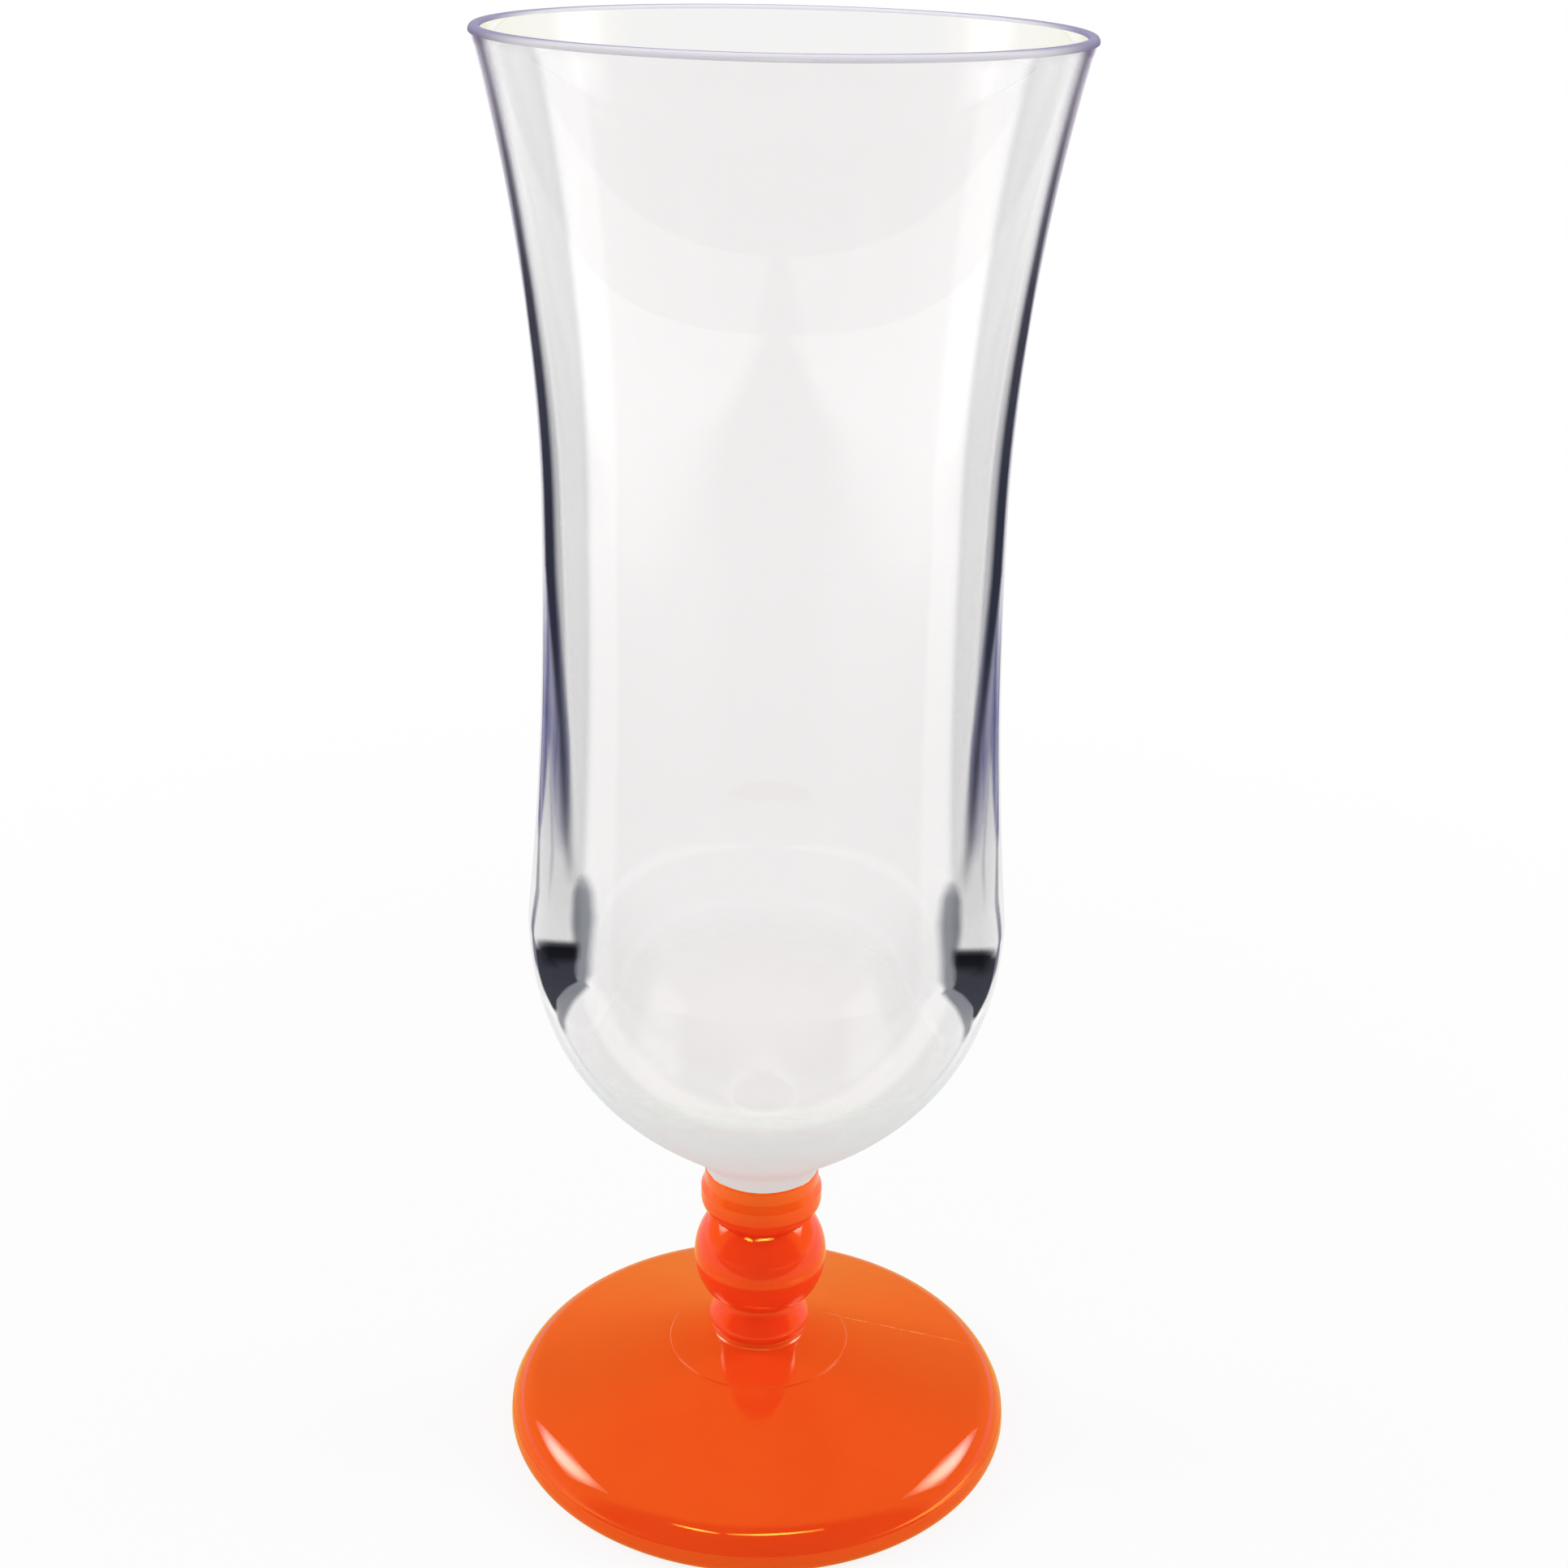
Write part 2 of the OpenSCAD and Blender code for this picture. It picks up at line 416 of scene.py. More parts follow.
    def matt(self, colour: object) -> Socket:
        """A matt shader of that colour."""
        return self.add("BsdfDiffuse", {"Color": colour}).outputs[0]

    def blend(self, share: Socket, first: Socket, other: Socket) -> Socket:
        """A shader with a share of another."""
        return self.add("MixShader", {0: share, 1: first, 2: other}).outputs[0]


@dataclass(frozen=True)
class EdgeBand:
    """A band of painted shade or light round the bowl's outline, a matt colour laid over the glass
    where the thick wall bends light aside.

    Each curve holds pairs of a height in millimetres and a value. The slant is zero where the wall
    is seen edge on and one where it is seen flat.

    Attributes:
        name: What the band is.
        outer: Slant at the band's outer side.
        inner: Slant at its inner side.
        amount: How strong the band is.
        colour: Colour of the painted shade or light.
        soft_out: How much slant its outer side takes up.
        soft_in: How much slant its inner side takes up.
        sag: How far the band's height drops with the slant, in metres.
        streaks: How much upright streaks break it up.
    """

    name: str
    outer: tuple[Point, ...]
    inner: tuple[Point, ...]
    amount: tuple[Point, ...]
    colour: Colour
    soft_out: float = 0.03
    soft_in: float = 0.03
    sag: float = 0.0
    streaks: float = 0.0


EDGE_LOW = 60.0
EDGE_HIGH = 210.0
BELLY_SAG = 0.0155


def by_height(curve: tuple[Point, ...]) -> tuple[Point, ...]:
    """The curve with heights from zero at the edge's low end to one at its high end."""
    return tuple(((z - EDGE_LOW) / (EDGE_HIGH - EDGE_LOW), value) for z, value in curve)


def flat(value: float) -> tuple[Point, ...]:
    """A curve with the same value at every height."""
    return (EDGE_LOW, value), (EDGE_HIGH, value)


# Painted shade and light for the bowl's outside: matt bands laid over the glass by slant and
# height, in place of the lines that refraction draws at its edges.
EDGE_BANDS = (
    EdgeBand(
        "belly's shade", flat(0.64), flat(0.8),
        ((66, 0.0), (72, 0.16), (95, 0.16), (105, 0.0)), (0.5, 0.5, 0.51), soft_in=0.16),
    EdgeBand(
        "light strip", flat(0.36), ((60, 0.58), (154, 0.59), (184, 0.56), (209, 0.68)),
        ((80, 0.0), (90, 0.25), (115, 0.1), (209, 0.1)), (0.98, 0.98, 1.0), 0.06),
    EdgeBand(
        "grey strip", flat(0.2),
        ((100, 0.46), (115, 0.47), (131, 0.42), (142, 0.395), (164, 0.36), (176, 0.33),
         (210, 0.31)),
        ((103, 0.0), (112, 0.35), (140, 0.5), (160, 0.5), (175, 0.3), (190, 0.15), (205, 0.1)),
        (0.32, 0.32, 0.37), soft_in=0.02),
    EdgeBand(
        "violet fringe", ((60, 0.1), (140, 0.1), (164, 0.05), (185, 0.07), (204, 0.13)),
        ((140, 0.2), (164, 0.2), (204, 0.3)),
        ((130, 0.0), (145, 0.4), (175, 0.55), (205, 0.75), (209, 0.8)),
        (0.22, 0.16, 0.30), 0.05, 0.08),
    EdgeBand(
        "blue halo", ((104, 0.38), (120, 0.26), (140, 0.16)),
        ((104, 0.5), (121, 0.455), (140, 0.34)),
        ((103, 0.0), (108, 0.4), (118, 0.85), (135, 0.6), (145, 0.0)),
        (0.15, 0.14, 0.33), 0.04, 0.02, streaks=0.25),
    EdgeBand(
        "dark line",
        ((101, 0.475), (104, 0.46), (107, 0.43), (112, 0.405), (116, 0.385), (121, 0.36),
         (131, 0.27), (142, 0.15), (164, 0.12), (174, 0.1), (185, 0.14), (204, 0.2)),
        ((101, 0.53), (104, 0.515), (107, 0.49), (112, 0.475), (121, 0.435), (131, 0.38),
         (142, 0.33), (164, 0.3), (185, 0.26), (204, 0.27)),
        ((100, 0.0), (103.5, 0.4), (107, 0.62), (110.7, 0.76), (116, 0.85), (122, 0.88),
         (132, 1.0), (150, 1.0), (180, 0.95), (195, 0.75), (206, 0.45)),
        (0.032, 0.034, 0.06), 0.04, 0.045),
    EdgeBand(
        "violet line", ((103, 0.345), (120, 0.24)), ((103, 0.375), (120, 0.265)),
        ((95, 0.0), (101, 0.35), (119, 0.4), (125, 0.0)), (0.26, 0.24, 0.38), 0.015, 0.015),
    EdgeBand(
        "edge thread", ((86, 0.13), (95, 0.19), (105, 0.14), (112, 0.09)),
        ((86, 0.19), (95, 0.25), (105, 0.18), (112, 0.13)),
        ((82.5, 0.0), (84.5, 0.85), (90, 0.8), (95, 0.6), (105, 0.65), (112, 0.3), (120, 0.0)),
        (0.13, 0.11, 0.19), 0.02, 0.02),
    EdgeBand(
        "blue streak", ((104, 0.12), (120, 0.11), (131, 0.09)),
        ((104, 0.2), (110, 0.23), (119, 0.27), (131, 0.24), (142, 0.18)),
        ((102, 0.0), (105, 0.8), (122, 0.95), (132, 0.7), (142, 0.0)),
        (0.09, 0.09, 0.27), 0.02, 0.025, streaks=0.3),
    EdgeBand(
        "grey patch",
        ((73, 0.26), (74.3, 0.26), (76.9, 0.33), (78.7, 0.44), (79.4, 0.51), (80.0, 0.54),
         (82.3, 0.565), (87, 0.53), (91.8, 0.525), (94.5, 0.55)),
        ((73, 0.3), (74.3, 0.34), (77, 0.48), (78.7, 0.58), (79.5, 0.62), (80.1, 0.63),
         (82.5, 0.63), (88, 0.635), (91.7, 0.62), (94.5, 0.59)),
        ((72.2, 0.0), (73.5, 0.8), (78, 0.95), (88, 0.95), (92, 0.9), (93.6, 0.6), (94.8, 0.0)),
        (0.25, 0.26, 0.30), 0.025, sag=BELLY_SAG),
    EdgeBand(
        "dark block", ((75.3, 0.26), (76.7, 0.23), (78.6, 0.19), (80.3, 0.175), (84.6, 0.185)),
        ((75.3, 0.29), (76.9, 0.335), (78.7, 0.46), (79.4, 0.535), (80.0, 0.56), (82.3, 0.575),
         (84.6, 0.575)),
        ((74.8, 0.0), (75.8, 0.98), (83.7, 1.0), (84.9, 0.0)),
        (0.045, 0.048, 0.065), 0.02, 0.02, BELLY_SAG),
    EdgeBand(
        "block's top", ((80, 0.28), (85, 0.3)), ((80, 0.53), (82.3, 0.57), (85, 0.57)),
        ((80.8, 0.0), (82.2, 0.9), (83.8, 1.0), (84.9, 0.0)),
        (0.008, 0.008, 0.012), 0.12, sag=BELLY_SAG),
)

# Painted shade on the lip: a pale grey-violet face and a dark violet line, matt colours laid over
# the glass by slant.
LIP_BANDS = (
    EdgeBand("lip's pale face", flat(0.0), flat(1.0), flat(0.8), (0.64, 0.62, 0.68), 0.01, 0.01),
    EdgeBand("lip line", flat(0.0), flat(0.42), flat(0.95), (0.24, 0.22, 0.34), 0.01, 0.2),
)


@dataclass(frozen=True)
class ClearPlastic:
    """Clear moulded styrene.

    Attributes:
        tint: Share of light that crosses one wall.
        roughness: Roughness of the polished face.
        haze: How much finger marks and rubbing add to it in places.
        ior: Index of refraction.
        ripple: Height in metres of the faint upright flow lines.
        bands: Bands of painted shade and light at the edges.
        frost: Share of a matt white face in the surface.
        frost_colour: Colour of that face.
        frost_fades: Heights in metres between which the frost fades away, if it does.
        front_colour: Its colour on the side that faces out; its cyan tint is painted to cancel the
            orange light that the foot bounces onto it.
        front_fades: Heights between which it fades away on that side.
    """

    tint: Colour = (0.952, 0.945, 0.943)
    roughness: float = 0.012
    haze: float = 0.02
    ior: float = 1.58
    ripple: float = 0.00002
    bands: tuple[EdgeBand, ...] = ()
    frost: float = 0.0
    frost_colour: Colour = (0.78, 0.78, 0.79)
    frost_fades: tuple[float, float] | None = None
    front_colour: Colour = (0.85, 0.935, 0.93)
    front_fades: tuple[float, float] = (0.062, 0.077)

    MOST_BOUNCES = 5.5
    SMEARS = 55.0
    SMEAR_SHAPE = (1.0, 1.0, 0.35)
    FLOW_LINES = 90.0
    FLOW_SHAPE = (1.0, 1.0, 0.08)
    PITS = 900.0
    PIT_DEPTH = 0.02
    CLOUDS = 60.0
    CLOUD_SHAPE = (1.0, 1.0, 0.4)
    FROST_SPREAD = 0.03
    FRONT_HAZE = 0.92
    STREAKS = 22.0
    STREAK_SHAPE = 0.4
    LEAST_COVER = 0.001

    def material(self, name: str) -> bpy.types.Material:
        """Makes the material.

        Args:
            name: Its name.

        Returns:
            The material.
        """
        made, bench = NodeBench.of_material(name)
        glass = self._polished(bench)
        if self.bands:
            glass = self._banded(bench, glass)
        if self.frost > 0:
            glass = self._frosted(bench, glass)
        bench.add("OutputMaterial", {"Surface": self._let_through(bench, glass)})
        return made

    def _polished(self, bench: NodeBench) -> Socket:
        """The polished face, with finger marks and flow lines.

        Args:
            bench: Where the nodes go.

        Returns:
            Shader of the glass.
        """
        smears = bench.noise(bench.stretched(bench.place, self.SMEAR_SHAPE), self.SMEARS, 3.0, 0.6)
        rough = bench.eased_step(smears, 0.5, 0.75, self.roughness, self.roughness + self.haze)
        flow = bench.noise(bench.stretched(bench.place, self.FLOW_SHAPE), self.FLOW_LINES)
        pits = bench.product(bench.noise(bench.place, self.PITS), self.PIT_DEPTH)
        return bench.add("BsdfPrincipled", {
            "Base Color": self.tint, "Roughness": rough, "IOR": self.ior,
            "Transmission Weight": 1.0,
            "Normal": bench.bump(bench.calc("ADD", flow, pits), self.ripple)}).outputs[0]

    def _frosted(self, bench: NodeBench, glass: Socket) -> Socket:
        """Lays matt white over the glass, and a pale haze on the side that faces out, whose cyan
        tint is painted to cancel the orange light that the foot bounces onto it.

        Args:
            bench: Where the nodes go.
            glass: Shader of the glass.

        Returns:
            Shader with the frost.
        """
        clouds = bench.noise(bench.stretched(bench.place, self.CLOUD_SHAPE), self.CLOUDS)
        least, most = self.frost * (1 - self.FROST_SPREAD), self.frost * (1 + self.FROST_SPREAD)
        share = bench.eased_step(clouds, 0.3, 0.7, least, min(1.0, most))
        if self.frost_fades:
            inward = bench.add("NewGeometry").outputs["Backfacing"]
            share = bench.product(share, bench.fading(bench.height, *self.frost_fades), inward)
            haze = bench.eased_step(bench.height, *self.front_fades, self.FRONT_HAZE, 0.0)
            outward = bench.product(haze, bench.rest(inward))
            glass = bench.blend(outward, glass, bench.matt(self.front_colour))
        return bench.blend(share, glass, bench.matt(self.frost_colour))

    def _let_through(self, bench: NodeBench, glass: Socket) -> Socket:
        """Makes the glass plain and clear for shadows, matt and mirrored light, and spent rays.

        Args:
            bench: Where the nodes go.
            glass: Shader of the glass.

        Returns:
            Shader of the whole surface.
        """
        lost = bench.calc("GREATER_THAN", bench.path["Ray Depth"], self.MOST_BOUNCES)
        through = bench.path["Is Shadow Ray"]
        for other in (bench.path["Is Diffuse Ray"], lost, bench.mirror):
            through = bench.calc("MAXIMUM", through, other)
        veil = tuple(math.sqrt(c) for c in self.tint)
        clear = bench.add("BsdfTransparent", {"Color": veil}).outputs[0]
        return bench.blend(through, glass, clear)

    def _banded(self, bench: NodeBench, glass: Socket) -> Socket:
        """Lays the bands of painted shade and light at the edges over the glass, as one matt
        colour mixed in by slant and height.

        Args:
            bench: Where the nodes go.
            glass: Shader of the glass.

        Returns:
            Shader with the bands.
        """
        slant = bench.rest(bench.add("LayerWeight", {"Blend": 0.5}).outputs["Facing"])
        front = bench.rest(bench.add("NewGeometry").outputs["Backfacing"])
        along = bench.product(bench.height, self.STREAK_SHAPE)
        across = bench.add("CombineXYZ", {0: slant, 1: along})
        grain = bench.eased_step(bench.noise(across.outputs[0], self.STREAKS, 1.0), 0.35, 0.65)
        colour: object = self.bands[0].colour
        cover: object = 0.0
        for band in self.bands:
            amount = self._amount(bench, band, slant, grain)
            cover = bench.calc("ADD", bench.product(cover, bench.rest(amount)), amount)
            share = bench.calc("DIVIDE", amount, bench.calc("MAXIMUM", cover, self.LEAST_COVER))
            colour = bench.mixed(share, colour, band.colour)
        return bench.blend(bench.product(cover, front), glass, bench.matt(colour))

    def _amount(self, bench: NodeBench, band: EdgeBand, slant: Socket, grain: Socket) -> Socket:
        """How much of a band lies at each place.

        Args:
            bench: Where the nodes go.
            band: The band.
            slant: Slant of the wall to the line of sight.
            grain: Upright streaks.

        Returns:
            Socket from zero to one.
        """
        height = bench.height
        if band.sag > 0:
            height = bench.calc("SUBTRACT", height, bench.product(slant, band.sag))
        inputs = {0: height, 1: EDGE_LOW * MM, 2: EDGE_HIGH * MM}
        level = bench.add("MapRange", inputs).outputs[0]
        sides = []
        for curve, soft, step in ((band.outer, band.soft_out, bench.eased_step),
                                  (band.inner, band.soft_in, bench.fading)):
            side = bench.profile(level, by_height(curve))
            marks = bench.calc("SUBTRACT", side, soft), bench.calc("ADD", side, soft)
            sides.append(step(slant, *marks))
        amount = bench.product(*sides, bench.profile(level, by_height(band.amount)))
        if band.streaks > 0:
            amount = bench.product(amount, bench.rest(bench.product(grain, band.streaks)))
        return amount


@dataclass(frozen=True)
class OrangePlastic:
    """Orange moulded styrene, which lets a little light into its depth.

    Attributes:
        colour: Its colour.
        deep: Colour in the patches where more of the depth shows.
        gloss: Colour that it gives to what it mirrors.
        roughness: Roughness of its face.
        grain: Height in metres of the moulded face's unevenness.
        ior: Index of refraction.
        depth: How far light wanders in it, in metres.
        wander: How far red, green and blue light go, as shares of that depth.
        translucence: How much of the light goes through its depth.
        thin_glow: Painted glow, a lighter and yellower colour where a narrow wall would let light
            through, or nothing if the wall is thick all over.
        glow_heights: Heights in metres between which that painted glow comes in.
        scratch: Start and end of a scratch in the top face, in metres across the glass.
    """

    colour: Colour = (0.87, 0.070, 0.010)
    deep: Colour = (0.85, 0.060, 0.009)
    gloss: Colour = (1.0, 0.9, 0.3)
    roughness: float = 0.04
    grain: float = 0.000004
    ior: float = 1.55
    depth: float = 0.002
    wander: Colour = (1.0, 0.3, 0.08)
    translucence: float = 0.35
    thin_glow: Colour | None = None
    glow_heights: tuple[float, float] = (0.0375, 0.0455)
    scratch: tuple[Point, Point] | None = None

    CLOUDS = 40.0
    SMEARS = 120.0
    SMEAR_SHAPE = (1.0, 0.5, 1.0)
    MOST_SMEARED = 1.8
    GRAINS = 350.0
    SCRATCH_HALF = 0.00012
    SCRATCH_PATCHES = 400.0
    SCRATCH_COLOUR = (0.95, 0.33, 0.10)
    SCRATCH_SHOWS = 0.5
    SCRATCH_ROUGH = 0.3

    def material(self, name: str) -> bpy.types.Material:
        """Makes the material.

        Args:
            name: Its name.

        Returns:
            The material.
        """
        made, bench = NodeBench.of_material(name)
        clouds = bench.eased_step(bench.noise(bench.place, self.CLOUDS, 3.0), 0.35, 0.7)
        colour = bench.mixed(clouds, self.colour, self.deep)
        # Painted glow: the colour turns lighter and yellower up the collar, in place of light
        # coming through its narrow wall.
        if self.thin_glow:
            glow_share = bench.eased_step(bench.height, *self.glow_heights)
            colour = bench.mixed(glow_share, colour, self.thin_glow)
        smears = bench.noise(bench.stretched(bench.place, self.SMEAR_SHAPE), self.SMEARS, 4.0, 0.6)
        smeared = self.roughness * self.MOST_SMEARED
        rough = bench.eased_step(smears, 0.45, 0.8, self.roughness, smeared)
        if self.scratch:
            mark = self._scratched(bench)
            shown = bench.product(mark, self.SCRATCH_SHOWS)
            colour = bench.mixed(shown, colour, self.SCRATCH_COLOUR)
            rough = bench.calc("ADD", rough, bench.product(mark, self.SCRATCH_ROUGH))
        shader = bench.add("BsdfPrincipled", {
            "Base Color": colour, "Roughness": rough, "IOR": self.ior,
            "Normal": bench.bump(bench.noise(bench.place, self.GRAINS), self.grain),
            "Specular Tint": self.gloss,
            "Subsurface Weight": self.translucence, "Subsurface Radius": self.wander,
            "Subsurface Scale": self.depth}).outputs[0]
        bench.add("OutputMaterial", {"Surface": shader})
        return made

    def _scratched(self, bench: NodeBench) -> Socket:
        """Where the scratch in the top face lies.

        Args:
            bench: Where the nodes go.

        Returns:
            Socket that is one in the scratch.
        """
        start, end = (Vector((*point, 0.0)) for point in self.scratch)
        length = (end - start).length
        along = (end - start).normalized()
        across = (-along.y, along.x, 0.0)
        wander = bench.vector("SUBTRACT", bench.place, tuple(start))
        aside = bench.vector("DOT_PRODUCT", wander, across, result="Value")
        forth = bench.vector("DOT_PRODUCT", wander, tuple(along), result="Value")
        half = self.SCRATCH_HALF
        line = bench.fading(bench.calc("ABSOLUTE", aside), half * 0.4, half * 1.6)
        patches = bench.noise(bench.place, self.SCRATCH_PATCHES)
        return bench.product(line, bench.eased_step(forth, 0.0, 0.1 * length),
                             bench.fading(forth, 0.8 * length, length),
                             bench.eased_step(patches, 0.35, 0.6, 0.2, 1.0))


@dataclass
class StemAndFoot:
    """The coloured lower piece, from socket to hollow foot. Sizes in millimetres."""

    clearance: float = 0.05
    boss_d: float = 14.0
    boss_h: float = 3.6
    pin_d: float = 7.6
    pin_h: float = 12.4
    end_gap: float = 0.6
    lead_in: float = 0.5
    collar_top_d: float = 17.3
    collar_top_h: float = 2.3
    collar_d: float = 18.4
    collar_slope_h: float = 1.2
    collar_band_h: float = 1.8
    collar_round_h: float = 2.7
    collar_foot_d: float = 15.8
    ball_d: float = 20.3
    ball_top_d: float = 13.4
    ball_low_d: float = 17.6
    cove_d: float = 12.6
    ring_h: float = 7.2
    ring_d: float = 15.5
    ring_edge_h: float = 1.8
    neck_d: float = 10.8
    neck_h: float = 0.8
    root_fillet: float = 0.9
    foot_d: float = 77.8
    foot_edge_h: float = 7.1
    shoulder_r: float = 6.0
    parting_z: float = 3.4
    foot_slope: float = 17.1
    foot_wall: float = 3.0
    rest_w: float = 2.0
    step_d: float = 27.8
    step_h: float = 0.15
    core_d: float = 6.0
    core_h: float = 22.0
    parting_proud: float = 0.08
    parting_half_w: float = 0.25
    draft: float = 2.0
    cove_place: float = 0.7
    cove_lower: float = 0.3
    cove_waist: float = 0.4
    collar_out: float = 0.39
    collar_up: float = 0.24
    collar_down: float = 0.41
    collar_edge_r: float = 0.35

    CORE_SOFT = 0.3
    WALL_SOFT = 0.5
    REST_SOFT = 0.12
    STEP_SOFT = 0.1
    BALL_SOFT = 0.15
    BALL_TOP_SOFT = 0.12
    BAND_SOFT = 0.4
    RING_UNDER = 0.1
    RING_START = -75

    def __post_init__(self) -> None:
        """Works out the heights of the stations from the sizes."""
        slope = math.radians(self.foot_slope)
        self.edge_r = self.foot_edge_h / 2
        self.edge_c = (self.foot_d / 2 - self.parting_proud - self.edge_r, self.edge_r)
        up = (math.sin(slope), math.cos(slope))
        wide_r = self.foot_d / 2 - self.parting_proud
        reach = self.edge_c[0] * up[0] + self.edge_c[1] * up[1] + self.edge_r - self.shoulder_r
        shoulder_x = wide_r - self.shoulder_r
        self.shoulder_c = (shoulder_x, (reach - shoulder_x * up[0]) / up[1])
        self.toe_r = self.shoulder_c[1]
        self.toe_c = (wide_r - self.toe_r, self.toe_r)
        self.edge_top = moved(self.shoulder_c, up, self.shoulder_r)
        self.neck_z = self.top_z(self.neck_d / 2) + self.step_h
        self.ring_z = self.neck_z + self.neck_h
        self.root_r = (self.ring_d - self.ring_edge_h) / 2
        self.ball_low_z = self.ring_z + self.ring_h
        ball_r = self.ball_d / 2
        self.ball_z = self.ball_low_z + math.sqrt(ball_r**2 - (self.ball_low_d / 2) ** 2)
        self.collar_z = self.ball_z + math.sqrt(ball_r**2 - (self.ball_top_d / 2) ** 2)
        self.band_z = self.collar_z + self.collar_round_h
        self.slope_z = self.band_z + self.collar_band_h
        self.collar_top_z = self.slope_z + self.collar_slope_h
        self.seat_z = self.collar_top_z + self.collar_top_h

    def top_z(self, r: float) -> float:
        """Height of the foot's top at that radius."""
        return self.edge_top[1] + (self.edge_top[0] - r) * math.tan(math.radians(self.foot_slope))

    def under_z(self, r: float) -> float:
        """Height of the underside of the foot's top at that radius."""
        return self.top_z(r) - self.foot_wall / math.cos(math.radians(self.foot_slope))

    def outline(self) -> TurnedOutline:
        """Draws the outline, from the core in the stem out over the foot and up to the socket.

        Returns:
            The whole outline.
        """
        line = TurnedOutline()
        line.skin = StemSkin.UNDERSIDE
        self._hollow(line)
        line.skin = StemSkin.FOOT
        self._foot(line)
        line.skin = StemSkin.STEM
        self._ring_and_ball(line)
        self._collar(line)
        line.skin = StemSkin.SOCKET
        self._socket(line)
        return line

    def _hollow(self, line: TurnedOutline) -> None:
        """Adds the core in the stem, the foot's underside, its inner wall and the resting ring.

        Args:
            line: Outline that they are added to.
        """
        lean = math.tan(math.radians(self.draft))
        mouth_r = self.core_d / 2
        mouth_z = self.under_z(mouth_r)
        end_r = mouth_r - (self.core_h - mouth_z) * lean
        rest_in_r = self.edge_c[0] - self.rest_w
        wall_r = rest_in_r - self.under_z(rest_in_r) * lean
        line.curve(arc((0.0, self.core_h - end_r), end_r, 90, 0, 12))
        line.straight((mouth_r, mouth_z), 6, self.CORE_SOFT)
        line.straight((wall_r, self.under_z(wall_r)), 16, self.WALL_SOFT)
        line.straight((rest_in_r, 0.0), 6, self.REST_SOFT)
        line.straight((self.toe_c[0], 0.0), 3)

    def _foot(self, line: TurnedOutline) -> None:
        """Adds the round edge with its parting ridge, and the top with its fine step.

        Args:
            line: Outline that they are added to.
        """
        ridge = math.degrees(math.asin((self.parting_z - self.shoulder_c[1]) / self.shoulder_r))
        half = math.degrees(self.parting_half_w / self.shoulder_r)
        way = (math.cos(math.radians(ridge)), math.sin(math.radians(ridge)))
        line.curve(arc(self.toe_c, self.toe_r, -90, 0, 20))
        line.curve(arc(self.shoulder_c, self.shoulder_r, 0, ridge - half, 8))
        proud = moved(self.shoulder_c, way, self.shoulder_r + self.parting_proud)
        line.corner(proud, self.REST_SOFT)
        line.curve(arc(self.shoulder_c, self.shoulder_r, ridge + half, 90 - self.foot_slope, 28))
        step_r = self.step_d / 2
        line.straight((step_r, self.top_z(step_r)), 20, self.STEP_SOFT)
        up_r = step_r - self.step_h
        line.corner((up_r, self.top_z(up_r) + self.step_h), self.STEP_SOFT)
        fillet_r = self.root_r + self.root_fillet
        fillet_rise = self.root_fillet / math.cos(math.radians(self.foot_slope))
        fillet_z = self.top_z(fillet_r) + self.step_h + fillet_rise
        bend = arc((fillet_r, fillet_z), self.root_fillet, -90 - self.foot_slope, -180, 14)
        line.straight(bend[0], 8)
        line.curve(bend)

    def _ring_and_ball(self, line: TurnedOutline) -> None:
        """Adds the ring, the hollow curve above it and the ball.

        Args:
            line: Outline that they are added to.
        """
        edge_r = self.ring_edge_h / 2
        edge_c = (self.root_r, self.ring_z + edge_r)
        edge_p = moved(edge_c, (edge_r, 0.0))
        cove = (self.cove_d / 2, self.ring_z + self.cove_place * self.ring_h)
        ball = (self.ball_low_d / 2, self.ball_low_z)
        under, over = (0.0, cove[1] - edge_p[1]), (0.0, ball[1] - cove[1])
        towards = (ball[0] - cove[0], ball[1] - cove[1])
        lower = bezier(edge_p, moved(edge_p, under, self.cove_lower),
                       moved(cove, under, -self.cove_waist), cove, 24)
        upper = bezier(cove, moved(cove, over, self.cove_waist),
                       moved(ball, towards, -self.cove_waist), ball, 12)
        line.straight((self.root_r, self.ring_z - self.RING_UNDER), 2)
        line.curve(arc(edge_c, edge_r, self.RING_START, 0, 10))
        line.curve(lower + upper[:-1])
        line.corner(ball, self.BALL_SOFT)
        low = -math.degrees(math.acos(self.ball_low_d / self.ball_d))
        high = math.degrees(math.acos(self.ball_top_d / self.ball_d))
        line.curve(arc((0.0, self.ball_z), self.ball_d / 2, low, high, 48)[1:-1])
        line.corner((self.ball_top_d / 2, self.collar_z), self.BALL_TOP_SOFT)

    def _collar(self, line: TurnedOutline) -> None:
        """Adds the collar: rounding, wide band, slope and upper part.

        Args:
            line: Outline that they are added to.
        """
        edge = (self.collar_foot_d / 2, self.collar_z)
        band = (self.collar_d / 2, self.band_z)
        top_r = self.collar_top_d / 2
        out = self.collar_out * (band[0] - edge[0])
        first = moved(edge, (out, self.collar_up * self.collar_round_h))
        second = moved(band, (0.0, -self.collar_down * self.collar_round_h))
        line.straight(edge, 3, self.BALL_SOFT)
        line.curve(bezier(edge, first, second, band, 20)[1:])
        line.straight((band[0], self.slope_z), 4, self.BAND_SOFT)
        line.straight((top_r, self.collar_top_z), 4, self.BAND_SOFT)
        bend_r = self.collar_edge_r
        bend = arc((top_r - bend_r, self.seat_z - bend_r), bend_r, 0, 90, 8)
        line.straight(bend[0], 4)
        line.curve(bend)

